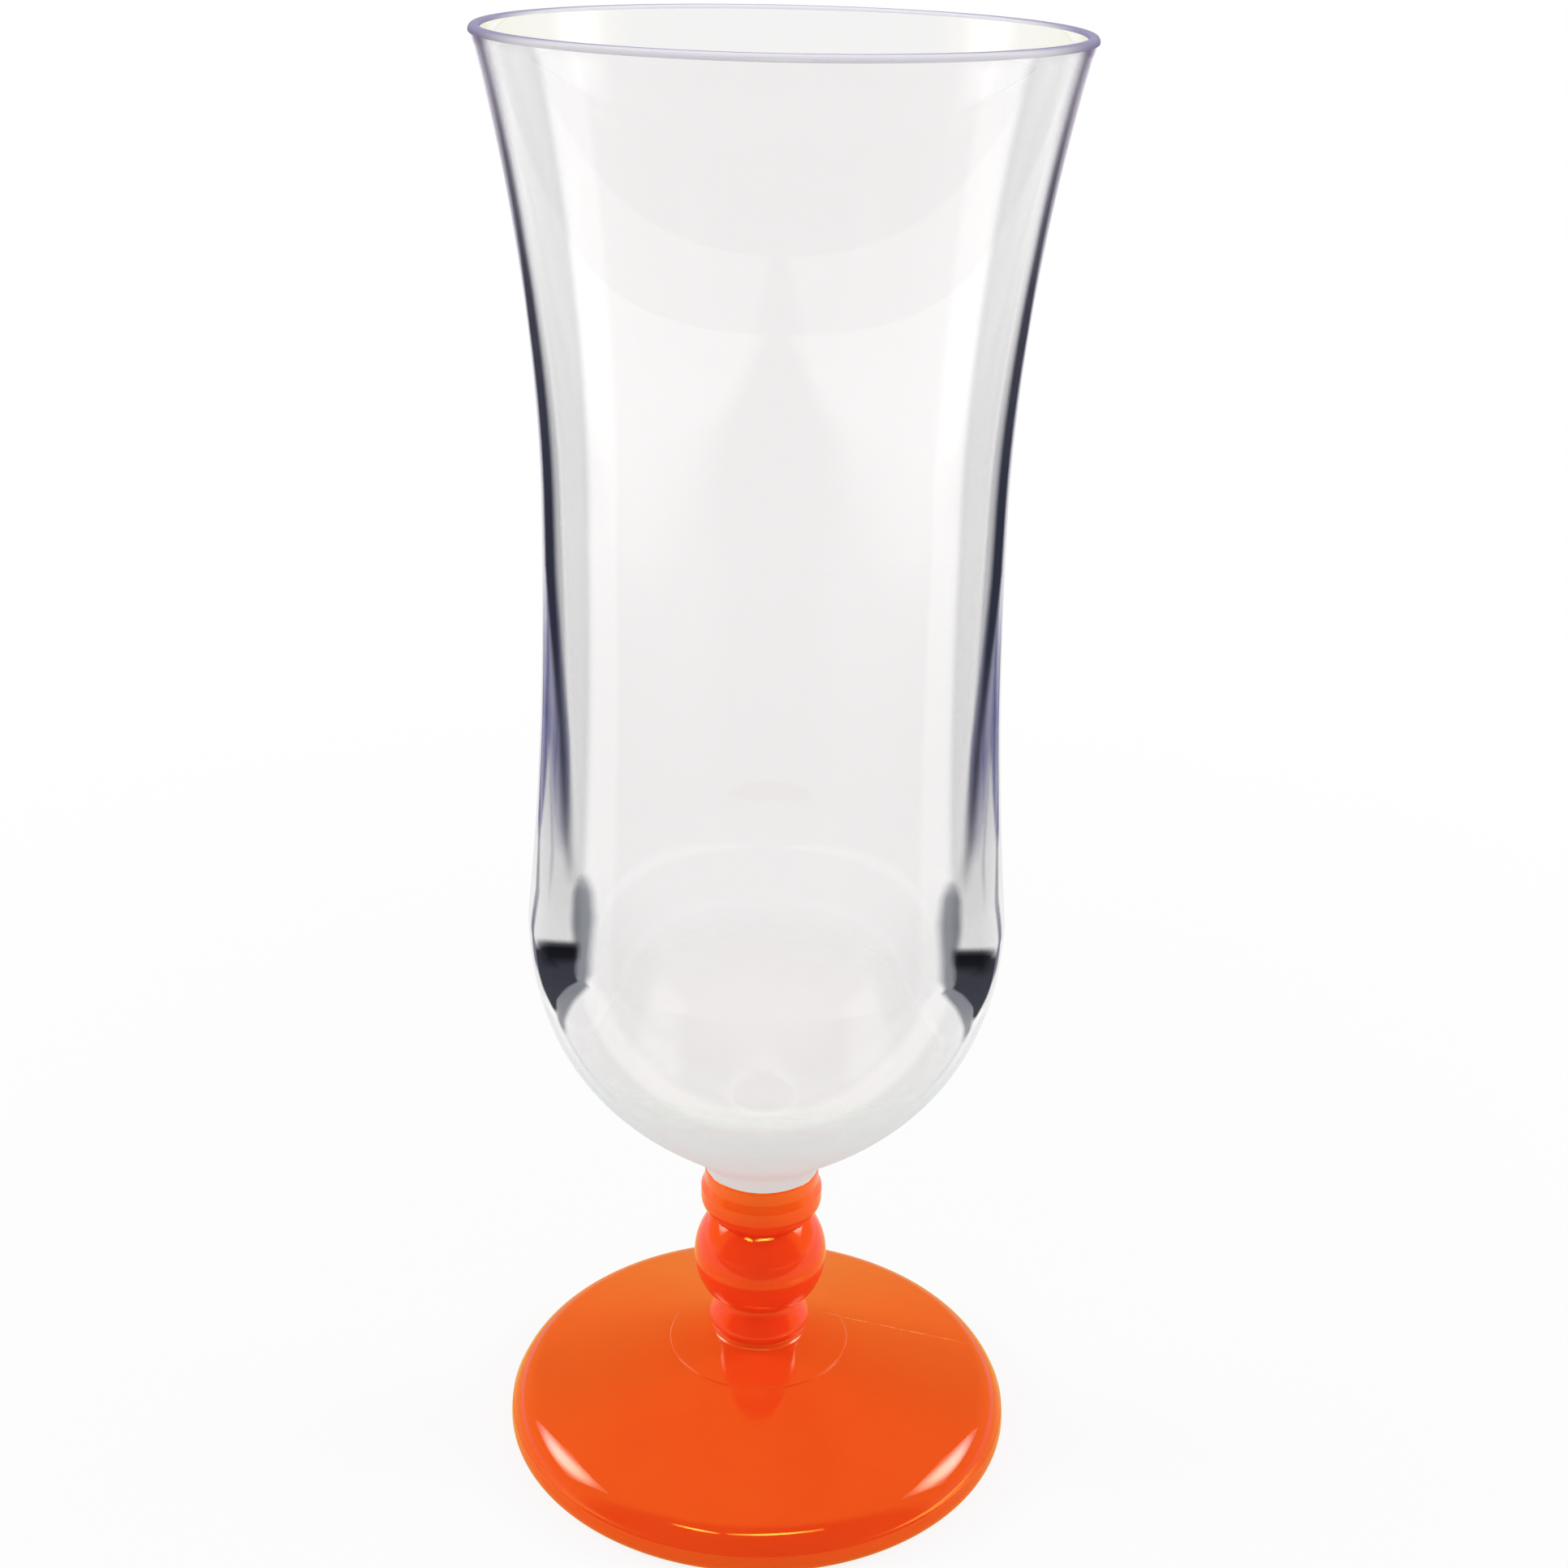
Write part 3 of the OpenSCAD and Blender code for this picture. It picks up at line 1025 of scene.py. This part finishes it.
    def _socket(self, line: TurnedOutline) -> None:
        """Adds the flat seat and the stepped socket, in to the axis.

        Args:
            line: Outline that they are added to.
        """
        boss_r = self.boss_d / 2 + self.clearance
        pin_r = self.pin_d / 2 + self.clearance
        boss_z = self.seat_z - self.boss_h - self.end_gap
        pin_z = boss_z - self.pin_h
        line.straight((boss_r + self.lead_in, self.seat_z), 2)
        line.corner((boss_r, self.seat_z - self.lead_in))
        line.straight((boss_r, boss_z), 3)
        line.straight((pin_r + self.lead_in, boss_z), 3)
        line.corner((pin_r, boss_z - self.lead_in))
        line.straight((pin_r, pin_z), 6)
        line.straight((0.0, pin_z), 3)

    def build(self) -> bpy.types.Object:
        """Makes, dresses and seats the piece.

        Returns:
            The piece.
        """
        piece = self.outline().turned("orange_stem_and_foot")
        foot = OrangePlastic(scratch=((0.0097, 0.0048), (0.0349, 0.0075)))
        # The stem's colour gets a painted glow up the collar.
        stem = OrangePlastic(colour=(0.93, 0.054, 0.010), deep=(0.91, 0.045, 0.009),
                             thin_glow=(0.94, 0.12, 0.010))
        satin = OrangePlastic(roughness=0.25, grain=0.00001)
        for skin, finish in ((StemSkin.FOOT, foot), (StemSkin.STEM, stem),
                             (StemSkin.SOCKET, satin), (StemSkin.UNDERSIDE, satin)):
            piece.data.materials.append(finish.material(f"orange_plastic_{skin.name.lower()}"))
        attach(piece, "stem_and_foot")
        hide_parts("stem_and_foot")
        return piece


@dataclass
class ClearBowl:
    """The clear bowl with its stepped spigot. Sizes in millimetres."""

    seat_z: float
    boss_d: float
    boss_h: float
    pin_d: float
    pin_h: float
    lead_in: float
    pin_core_d: float = 3.0
    pin_core_h: float = 9.0
    height: float = 164.7
    rim_d: float = 78.4
    rim_lean: float = 14.6
    belly_d: float = 68.7
    belly_h: float = 42.5
    waist_d: float = 62.7
    waist_h: float = 104.2
    neck_d: float = 17.2
    lip_wall: float = 1.5
    waist_wall: float = 2.6
    core_d: float = 55.0
    floor_t: float = 5.6
    neck_flare: float = 0.03
    neck_rise: float = 0.16
    belly_under: float = 0.705
    belly_over: float = 0.05
    waist_under: float = 0.64
    waist_over: float = 0.19
    rim_handle: float = 0.44

    CORE_SOFT = 0.3
    END_SOFT = 0.15
    CHAMFER_SOFT = 0.1
    STEP_SOFT = 0.25
    NECK_SOFT = 0.2

    def __post_init__(self) -> None:
        """Works out the stations of the outline from the sizes."""
        lean = math.radians(self.rim_lean)
        self.lip_r = self.lip_wall / 2
        self.lip_c = (self.rim_d / 2 - self.lip_r, self.seat_z + self.height - self.lip_r)
        self.rim_way = (math.sin(lean), math.cos(lean))
        side = (math.cos(lean), -math.sin(lean))
        self.rim_out = moved(self.lip_c, side, self.lip_r)
        self.rim_in = moved(self.lip_c, side, -self.lip_r)
        self.neck = (self.neck_d / 2, self.seat_z)
        self.belly = (self.belly_d / 2, self.seat_z + self.belly_h)
        self.waist = (self.waist_d / 2, self.seat_z + self.waist_h)
        self.waist_in = moved(self.waist, (-self.waist_wall, 0.0))
        self.core_r = self.core_d / 2
        self.core_c = (0.0, self.seat_z + self.floor_t + self.core_r)
        reach = (self.waist_in[0] - self.core_c[0], self.waist_in[1] - self.core_c[1])
        self.core_draft = math.atan2(*reach) - math.asin(self.core_r / math.hypot(*reach))

    def _flare(self, start: Point, way: Point, end: Point) -> list[Point]:
        """The curve from the waist up to the lip, on either side of the wall.

        Args:
            start: Where it starts.
            way: Its direction there.
            end: Where it ends, in the lip's direction.

        Returns:
            Points of the curve.
        """
        span = self.height - self.waist_h
        return bezier(start, moved(start, way, self.waist_over * span),
                      moved(end, self.rim_way, -self.rim_handle * span), end, 56)

    def outline(self) -> TurnedOutline:
        """Draws the outline, from the pin's core out, up, over the lip and down the inside.

        Returns:
            The whole outline.
        """
        line = TurnedOutline()
        line.skin = BowlSkin.SPIGOT
        self._spigot(line)
        line.skin = BowlSkin.OUTSIDE
        self._outside(line)
        line.skin = BowlSkin.LIP
        line.curve(arc(self.lip_c, self.lip_r, -self.rim_lean, 180 - self.rim_lean, 24))
        line.skin = BowlSkin.INSIDE
        self._inside(line)
        return line

    def _spigot(self, line: TurnedOutline) -> None:
        """Adds the cored pin, the boss and the seat.

        Args:
            line: Outline that they are added to.
        """
        boss_z = self.seat_z - self.boss_h
        end_z = boss_z - self.pin_h
        core_r, pin_r, boss_r = self.pin_core_d / 2, self.pin_d / 2, self.boss_d / 2
        line.corner((0.0, end_z + self.pin_core_h))
        line.straight((core_r, end_z + self.pin_core_h), 3, self.CORE_SOFT)
        line.straight((core_r, end_z), 6, self.END_SOFT)
        line.straight((pin_r - self.lead_in, end_z), 3, self.CHAMFER_SOFT)
        line.corner((pin_r, end_z + self.lead_in), self.CHAMFER_SOFT)
        line.straight((pin_r, boss_z), 8, self.STEP_SOFT)
        line.straight((boss_r - self.lead_in, boss_z), 3, self.CHAMFER_SOFT)
        line.corner((boss_r, boss_z + self.lead_in), self.CHAMFER_SOFT)
        line.straight((boss_r, self.seat_z), 3, self.END_SOFT)
        line.straight(self.neck, 3, self.NECK_SOFT)

    def _outside(self, line: TurnedOutline) -> None:
        """Adds the neck, the belly, the waist and the flare of the outside.

        Args:
            line: Outline that they are added to.
        """
        flare = (self.neck_flare * (self.belly[0] - self.neck[0]), self.neck_rise * self.belly_h)
        under = (0.0, -self.belly_under * self.belly_h)
        up = (0.0, self.waist_h - self.belly_h)
        line.curve(bezier(self.neck, moved(self.neck, flare), moved(self.belly, under),
                          self.belly, 64)[1:])
        line.curve(bezier(self.belly, moved(self.belly, up, self.belly_over),
                          moved(self.waist, up, -self.waist_under), self.waist, 40))
        line.curve(self._flare(self.waist, (0.0, 1.0), self.rim_out))

    def _inside(self, line: TurnedOutline) -> None:
        """Adds the inside: flare, drafted wall and round bottom.

        Args:
            line: Outline that they are added to.
        """
        way = (math.sin(self.core_draft), math.cos(self.core_draft))
        line.curve(self._flare(self.waist_in, way, self.rim_in)[::-1])
        bottom = arc(self.core_c, self.core_r, -90, -math.degrees(self.core_draft), 72)[::-1]
        line.straight(bottom[0], 16)
        line.curve(bottom)

    def build(self) -> bpy.types.Object:
        """Makes, dresses and seats the piece.

        Returns:
            The piece.
        """
        piece = self.outline().turned("clear_bowl")
        # The outside and the lip get bands of painted shade and light over the glass.
        wall = ClearPlastic(bands=EDGE_BANDS, frost=0.97, frost_colour=(0.93, 0.92, 0.92),
                            frost_fades=(0.058, 0.072))
        lip = ClearPlastic(bands=LIP_BANDS)
        spigot = ClearPlastic(roughness=0.2, haze=0.05, frost=0.95,
                              frost_colour=(0.87, 0.87, 0.89))
        for skin, finish in ((BowlSkin.OUTSIDE, wall), (BowlSkin.LIP, lip),
                             (BowlSkin.INSIDE, ClearPlastic()), (BowlSkin.SPIGOT, spigot)):
            piece.data.materials.append(finish.material(f"clear_plastic_{skin.name.lower()}"))
        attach(piece, "bowl")
        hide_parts("bowl")
        return piece


@dataclass(frozen=True)
class Softbox:
    """A soft rectangular lamp, brightest in its middle.

    Attributes:
        name: Name of the lamp.
        place: Where it hangs, in metres.
        aim: Point that it faces.
        width: Its width in metres.
        height: Its height in metres.
        radiance: Brightness of its middle, where a white wall in this light is 1.
        lights: Names of the pieces that it lights.
        part: Whether it counts as plain light, as gloss, or as both.
        colour: Its colour.
    """

    name: str
    place: Spot
    aim: Spot
    width: float
    height: float
    radiance: float
    lights: tuple[str, ...] = ()
    part: LampPart = LampPart.BOTH
    colour: Colour = WHITE

    MIDDLE = (0.5, 0.5, 0.0)
    DIMS = (0.12, 0.6)
    CORNER_LEVEL = 0.1

    def build(self) -> bpy.types.Object:
        """Hangs the lamp.

        Returns:
            The lamp.
        """
        data = bpy.data.lights.new(self.name, "AREA")
        data.shape = "RECTANGLE"
        data.size, data.size_y = self.width, self.height
        data.energy = self.radiance * math.pi * self.width * self.height
        data.use_nodes = True
        bench = NodeBench(data.node_tree)
        spot = bench.add("NewGeometry").outputs["Parametric"]
        away = bench.vector("DISTANCE", spot, self.MIDDLE, result="Value")
        level = bench.eased_step(away, *self.DIMS, 1.0, self.CORNER_LEVEL)
        face = bench.add("Emission", {"Color": self.colour, "Strength": level}).outputs[0]
        bench.add("OutputLight", {"Surface": face})
        lamp = bpy.data.objects.new(self.name, data)
        turn = (Vector(self.place) - Vector(self.aim)).to_track_quat("Z", "Y").to_matrix()
        lamp.matrix_world = Matrix.Translation(self.place) @ turn.to_4x4()
        lamp.visible_camera = False
        lamp.visible_glossy = self.part is not LampPart.PLAIN
        lamp.visible_diffuse = self.part is not LampPart.GLOSS
        bpy.context.scene.collection.objects.link(lamp)
        if self.lights:
            lit = bpy.data.collections.new(self.name + "_lights")
            for name in self.lights:
                lit.objects.link(bpy.data.objects[name])
            lamp.light_linking.receiver_collection = lit
        return lamp


@dataclass(frozen=True)
class Studio:
    """The white floor, the soft lamps and the pale room. Lengths in metres.

    Attributes:
        floor_r: Radius of the round floor.
        floor_colour: How much light the floor sends back.
        near: Share of plain white in what the floor shows close to the glass, in its shadow.
        low_sky: Brightness of the room up to the first mark.
        high_sky: Brightness of the room over the second mark.
        marks: Sines of the two heights over the horizon between which the room darkens.
        through: Brightness of the upper room through the glass.
        mirrored: Brightness of the room and floor in the gloss of the plastic.
        warmth: Colour of the room and of the nearer floor in that gloss.
        front: Brightness there of the dark side of the room, behind the camera.
        front_floor: Distances in front of the glass between which the floor turns dark there.
        side_floor: How much brighter the floor is there on both sides, under the lamps.
        far_floor: How much brighter it is farther out, for light mirrored inside the glass.
        glow_patches: Middle and brightness of each bright patch of floor that only the plastic's
            gloss sees close by, painted light that mirrors as a glow on the foot's edge.
    """

    floor_r: float = 5.0
    floor_colour: float = 0.85
    near: float = 0.87
    low_sky: float = 1.0
    high_sky: float = 0.55
    marks: tuple[float, float] = (0.2, 0.6)
    through: float = 0.9
    mirrored: float = 0.8
    warmth: Colour = (1.0, 0.95, 0.2)
    front: float = 0.04
    front_floor: tuple[float, float] = (0.075, 0.11)
    side_floor: float = 0.35
    far_floor: float = 0.9
    glow_patches: tuple[tuple[Spot, float], ...] = (
        ((0.075, -0.04, 0.0), 6.0), ((-0.072, -0.045, 0.0), 1.5))

    FLOOR_SIDES = 96
    SHADOW_ENDS = (0.08, 0.4)
    SIDES = (0.12, 0.3)
    SIDE_RAYS = (0.35, 0.5)
    FAR_SIDES = (0.3, 0.6)
    PATCH_ENDS = (0.005, 0.04)
    PATCH_RAYS = (0.05, 0.065)
    WARM_FLOOR = (0.1, 0.2)
    WARM_RAYS = (0.06, 0.1)
    FRONT_WAYS = (0.15, 0.4)
    SIDE_WAYS = (0.25, 0.45)
    NEUTRAL_HEIGHTS = (0.06, 0.12)
    WARM_HEIGHTS = (0.0, 0.03)

    def build(self) -> None:
        """Sets up the floor and the room."""
        bpy.context.scene.view_settings.view_transform = "Standard"
        self._floor()
        self._room()

    def light(self, bowl: str, stem: str) -> None:
        """Hangs the lamps.

        Args:
            bowl: Name of the clear piece.
            stem: Name of the coloured piece.
        """
        aim = (0.0, 0.0, 0.03)
        for side in Side:
            which, x = side.name.lower(), side.value
            for lamp in (
                    Softbox(f"softbox_{which}", (x * 0.78, 0.09, 0.53), aim, 0.44, 0.4, 11.0,
                            (stem, "floor"), LampPart.PLAIN),
                    Softbox(f"gloss_softbox_{which}", (x * 0.68, 0.2, 0.54), aim, 0.52, 0.42, 11.0,
                            (stem,), LampPart.GLOSS, (1.0, 1.05, 2.0)),
                    Softbox(f"bowl_softbox_{which}", (x * 0.8, 0.09, 0.54), (0.0, 0.0, 0.07),
                            0.44, 0.4, 1.6, (bowl,))):
                lamp.build()
        Softbox("fill_over_bowl", (0.0, 0.0, 0.75), aim, 0.5, 0.5, 7.0, (bowl,),
                LampPart.PLAIN).build()
        Softbox("fill_by_camera", (0.0, -0.9, 0.5), aim, 0.6, 0.4, 1.8, (stem,),
                LampPart.PLAIN).build()
        for x, width in ((-0.435, 0.37), (0.145, 0.71)):
            Softbox("strip_over_camera", (x, -0.75, 0.96), aim, width, 0.11, 20.0, (stem,),
                    LampPart.GLOSS, (1.0, 0.9, 0.3)).build()

    def _floor(self) -> None:
        """Lays the round floor, which is white to look at and keeps the shadow of the glass."""
        mesh = bpy.data.meshes.new("floor")
        ways = [2 * math.pi * i / self.FLOOR_SIDES for i in range(self.FLOOR_SIDES)]
        verts = [(self.floor_r * math.cos(a), self.floor_r * math.sin(a), 0.0) for a in ways]
        mesh.from_pydata(verts, [], [tuple(range(self.FLOOR_SIDES))])
        floor = bpy.data.objects.new("floor", mesh)
        bpy.context.scene.collection.objects.link(floor)
        made, bench = NodeBench.of_material("studio_floor")
        path = bench.path
        away = bench.vector("LENGTH", bench.place, result="Value")
        white = bench.eased_step(away, *self.SHADOW_ENDS, self.near, 1.0)
        seen = bench.calc("MAXIMUM", path["Is Glossy Ray"], path["Is Transmission Ray"])
        seen = bench.calc("MAXIMUM", path["Is Camera Ray"], seen)
        near = bench.product(bench.fading(away, *self.WARM_FLOOR),
                             bench.fading(path["Ray Length"], *self.WARM_RAYS))
        tint = bench.mixed(bench.product(bench.mirror, near), WHITE, self.warmth)
        paint = bench.matt((self.floor_colour,) * 3)
        inputs = {"Color": tint, "Strength": self._floor_gloss(bench)}
        glow = bench.add("Emission", inputs).outputs[0]
        surface = bench.blend(bench.product(white, seen), paint, glow)
        bench.add("OutputMaterial", {"Surface": surface})
        mesh.materials.append(made)

    def _floor_gloss(self, bench: NodeBench) -> Socket:
        """How bright the floor shows, with its dark and bright parts in the gloss.

        Args:
            bench: Where the nodes go.

        Returns:
            Socket with the brightness.
        """
        nearer = bench.product(bench.axis(bench.place, "Y"), -1.0)
        aside = bench.calc("ABSOLUTE", bench.axis(bench.place, "X"))
        length = bench.path["Ray Length"]
        level = self._mirrored_level(bench, 1.0, bench.eased_step(nearer, *self.front_floor))
        side = bench.product(bench.eased_step(aside, *self.SIDES, 0.0, self.side_floor),
                             bench.eased_step(length, *self.SIDE_RAYS))
        inner = bench.product(bench.path["Is Transmission Ray"],
                              bench.calc("GREATER_THAN", bench.path["Glossy Depth"], 0.5))
        far = bench.eased_step(aside, *self.FAR_SIDES, 0.0, self.far_floor)
        # Painted light: bright floor patches that only short gloss rays see, for the glow on the
        # foot's edge.
        patches: object = 0.0
        for spot, brightness in self.glow_patches:
            away = bench.vector("DISTANCE", bench.place, spot, result="Value")
            patch = bench.eased_step(away, *self.PATCH_ENDS, brightness, 0.0)
            patches = bench.calc("ADD", patch, patches)
        close = bench.fading(length, *self.PATCH_RAYS)
        for more in ((bench.mirror, side), (inner, far), (bench.mirror, close, patches)):
            level = bench.calc("ADD", level, bench.product(*more))
        return level

    def _mirrored_level(self, bench: NodeBench, plain: object, dark: Socket) -> Socket:
        """The surroundings' plain brightness, or in gloss that of the warm or the dark side."""
        return bench.between(bench.mirror, plain, bench.between(dark, self.mirrored, self.front))

    def _room(self) -> None:
        """Paints the room: white to look at, pale low down, and with a dark front in the gloss."""
        world = bpy.data.worlds.new("studio_room")
        bpy.context.scene.world = world
        world.use_nodes = True
        bench = NodeBench(world.node_tree)
        way = bench.add("TexCoord").outputs["Generated"]
        height = bench.axis(way, "Z")
        high = bench.between(bench.path["Is Transmission Ray"], self.high_sky, self.through)
        level = bench.eased_step(height, *self.marks, self.low_sky, high)
        nearer = bench.product(bench.axis(way, "Y"), -1.0)
        level = self._mirrored_level(bench, level, bench.eased_step(nearer, *self.FRONT_WAYS))
        aside = bench.calc("ABSOLUTE", bench.axis(way, "X"))
        neutral = bench.product(bench.eased_step(aside, *self.SIDE_WAYS),
                                bench.fading(height, *self.NEUTRAL_HEIGHTS))
        over = bench.eased_step(height, *self.WARM_HEIGHTS)
        warm = bench.product(bench.mirror, bench.rest(neutral), over)
        colour = bench.mixed(warm, WHITE, self.warmth)
        room = bench.add("Background", {"Color": colour, "Strength": level}).outputs[0]
        white = bench.add("Background", {"Color": WHITE, "Strength": 1.0}).outputs[0]
        surface = bench.blend(bench.path["Is Camera Ray"], room, white)
        bench.add("OutputWorld", {"Surface": surface})


@dataclass(frozen=True)
class PhotoCamera:
    """The camera at the photograph's angle.

    Attributes:
        place: Its place in metres.
        pitch: How far it looks down, in degrees.
        yaw: How far it is turned towards +X.
        roll: How far the picture's content is turned clockwise.
        lens: Focal length in millimetres on a frame 36 mm wide.
    """

    place: Spot = (0.0, -0.29979, 0.23204)
    pitch: float = 22.521
    yaw: float = 0.395
    roll: float = 1.284
    lens: float = 52.575

    def build(self) -> bpy.types.Object:
        """Sets up the camera.

        Returns:
            The camera.
        """
        data = bpy.data.cameras.new("photo_camera")
        data.lens = self.lens
        data.sensor_width = 36.0
        data.clip_start = 0.01
        camera = bpy.data.objects.new("photo_camera", data)
        turn = (Matrix.Rotation(math.radians(-self.yaw), 4, "Z")
                @ Matrix.Rotation(math.radians(90 - self.pitch), 4, "X")
                @ Matrix.Rotation(math.radians(self.roll), 4, "Z"))
        camera.matrix_world = Matrix.Translation(self.place) @ turn
        bpy.context.scene.collection.objects.link(camera)
        bpy.context.scene.camera = camera
        return camera


def main() -> None:
    """Builds the camera, the studio and the two pieces of the glass, and reports them."""
    logging.basicConfig(level=logging.INFO, format="%(message)s")
    PhotoCamera().build()
    studio = Studio()
    studio.build()
    stem = StemAndFoot()
    bowl = ClearBowl(stem.seat_z, stem.boss_d, stem.boss_h, stem.pin_d, stem.pin_h, stem.lead_in)
    pieces = [part.build() for part in (bowl, stem)]
    studio.light(*(piece.name for piece in pieces))
    for piece in pieces:
        log.info("%s: %d faces", piece.name, len(piece.data.polygons))


if __name__ == "__main__":
    main()
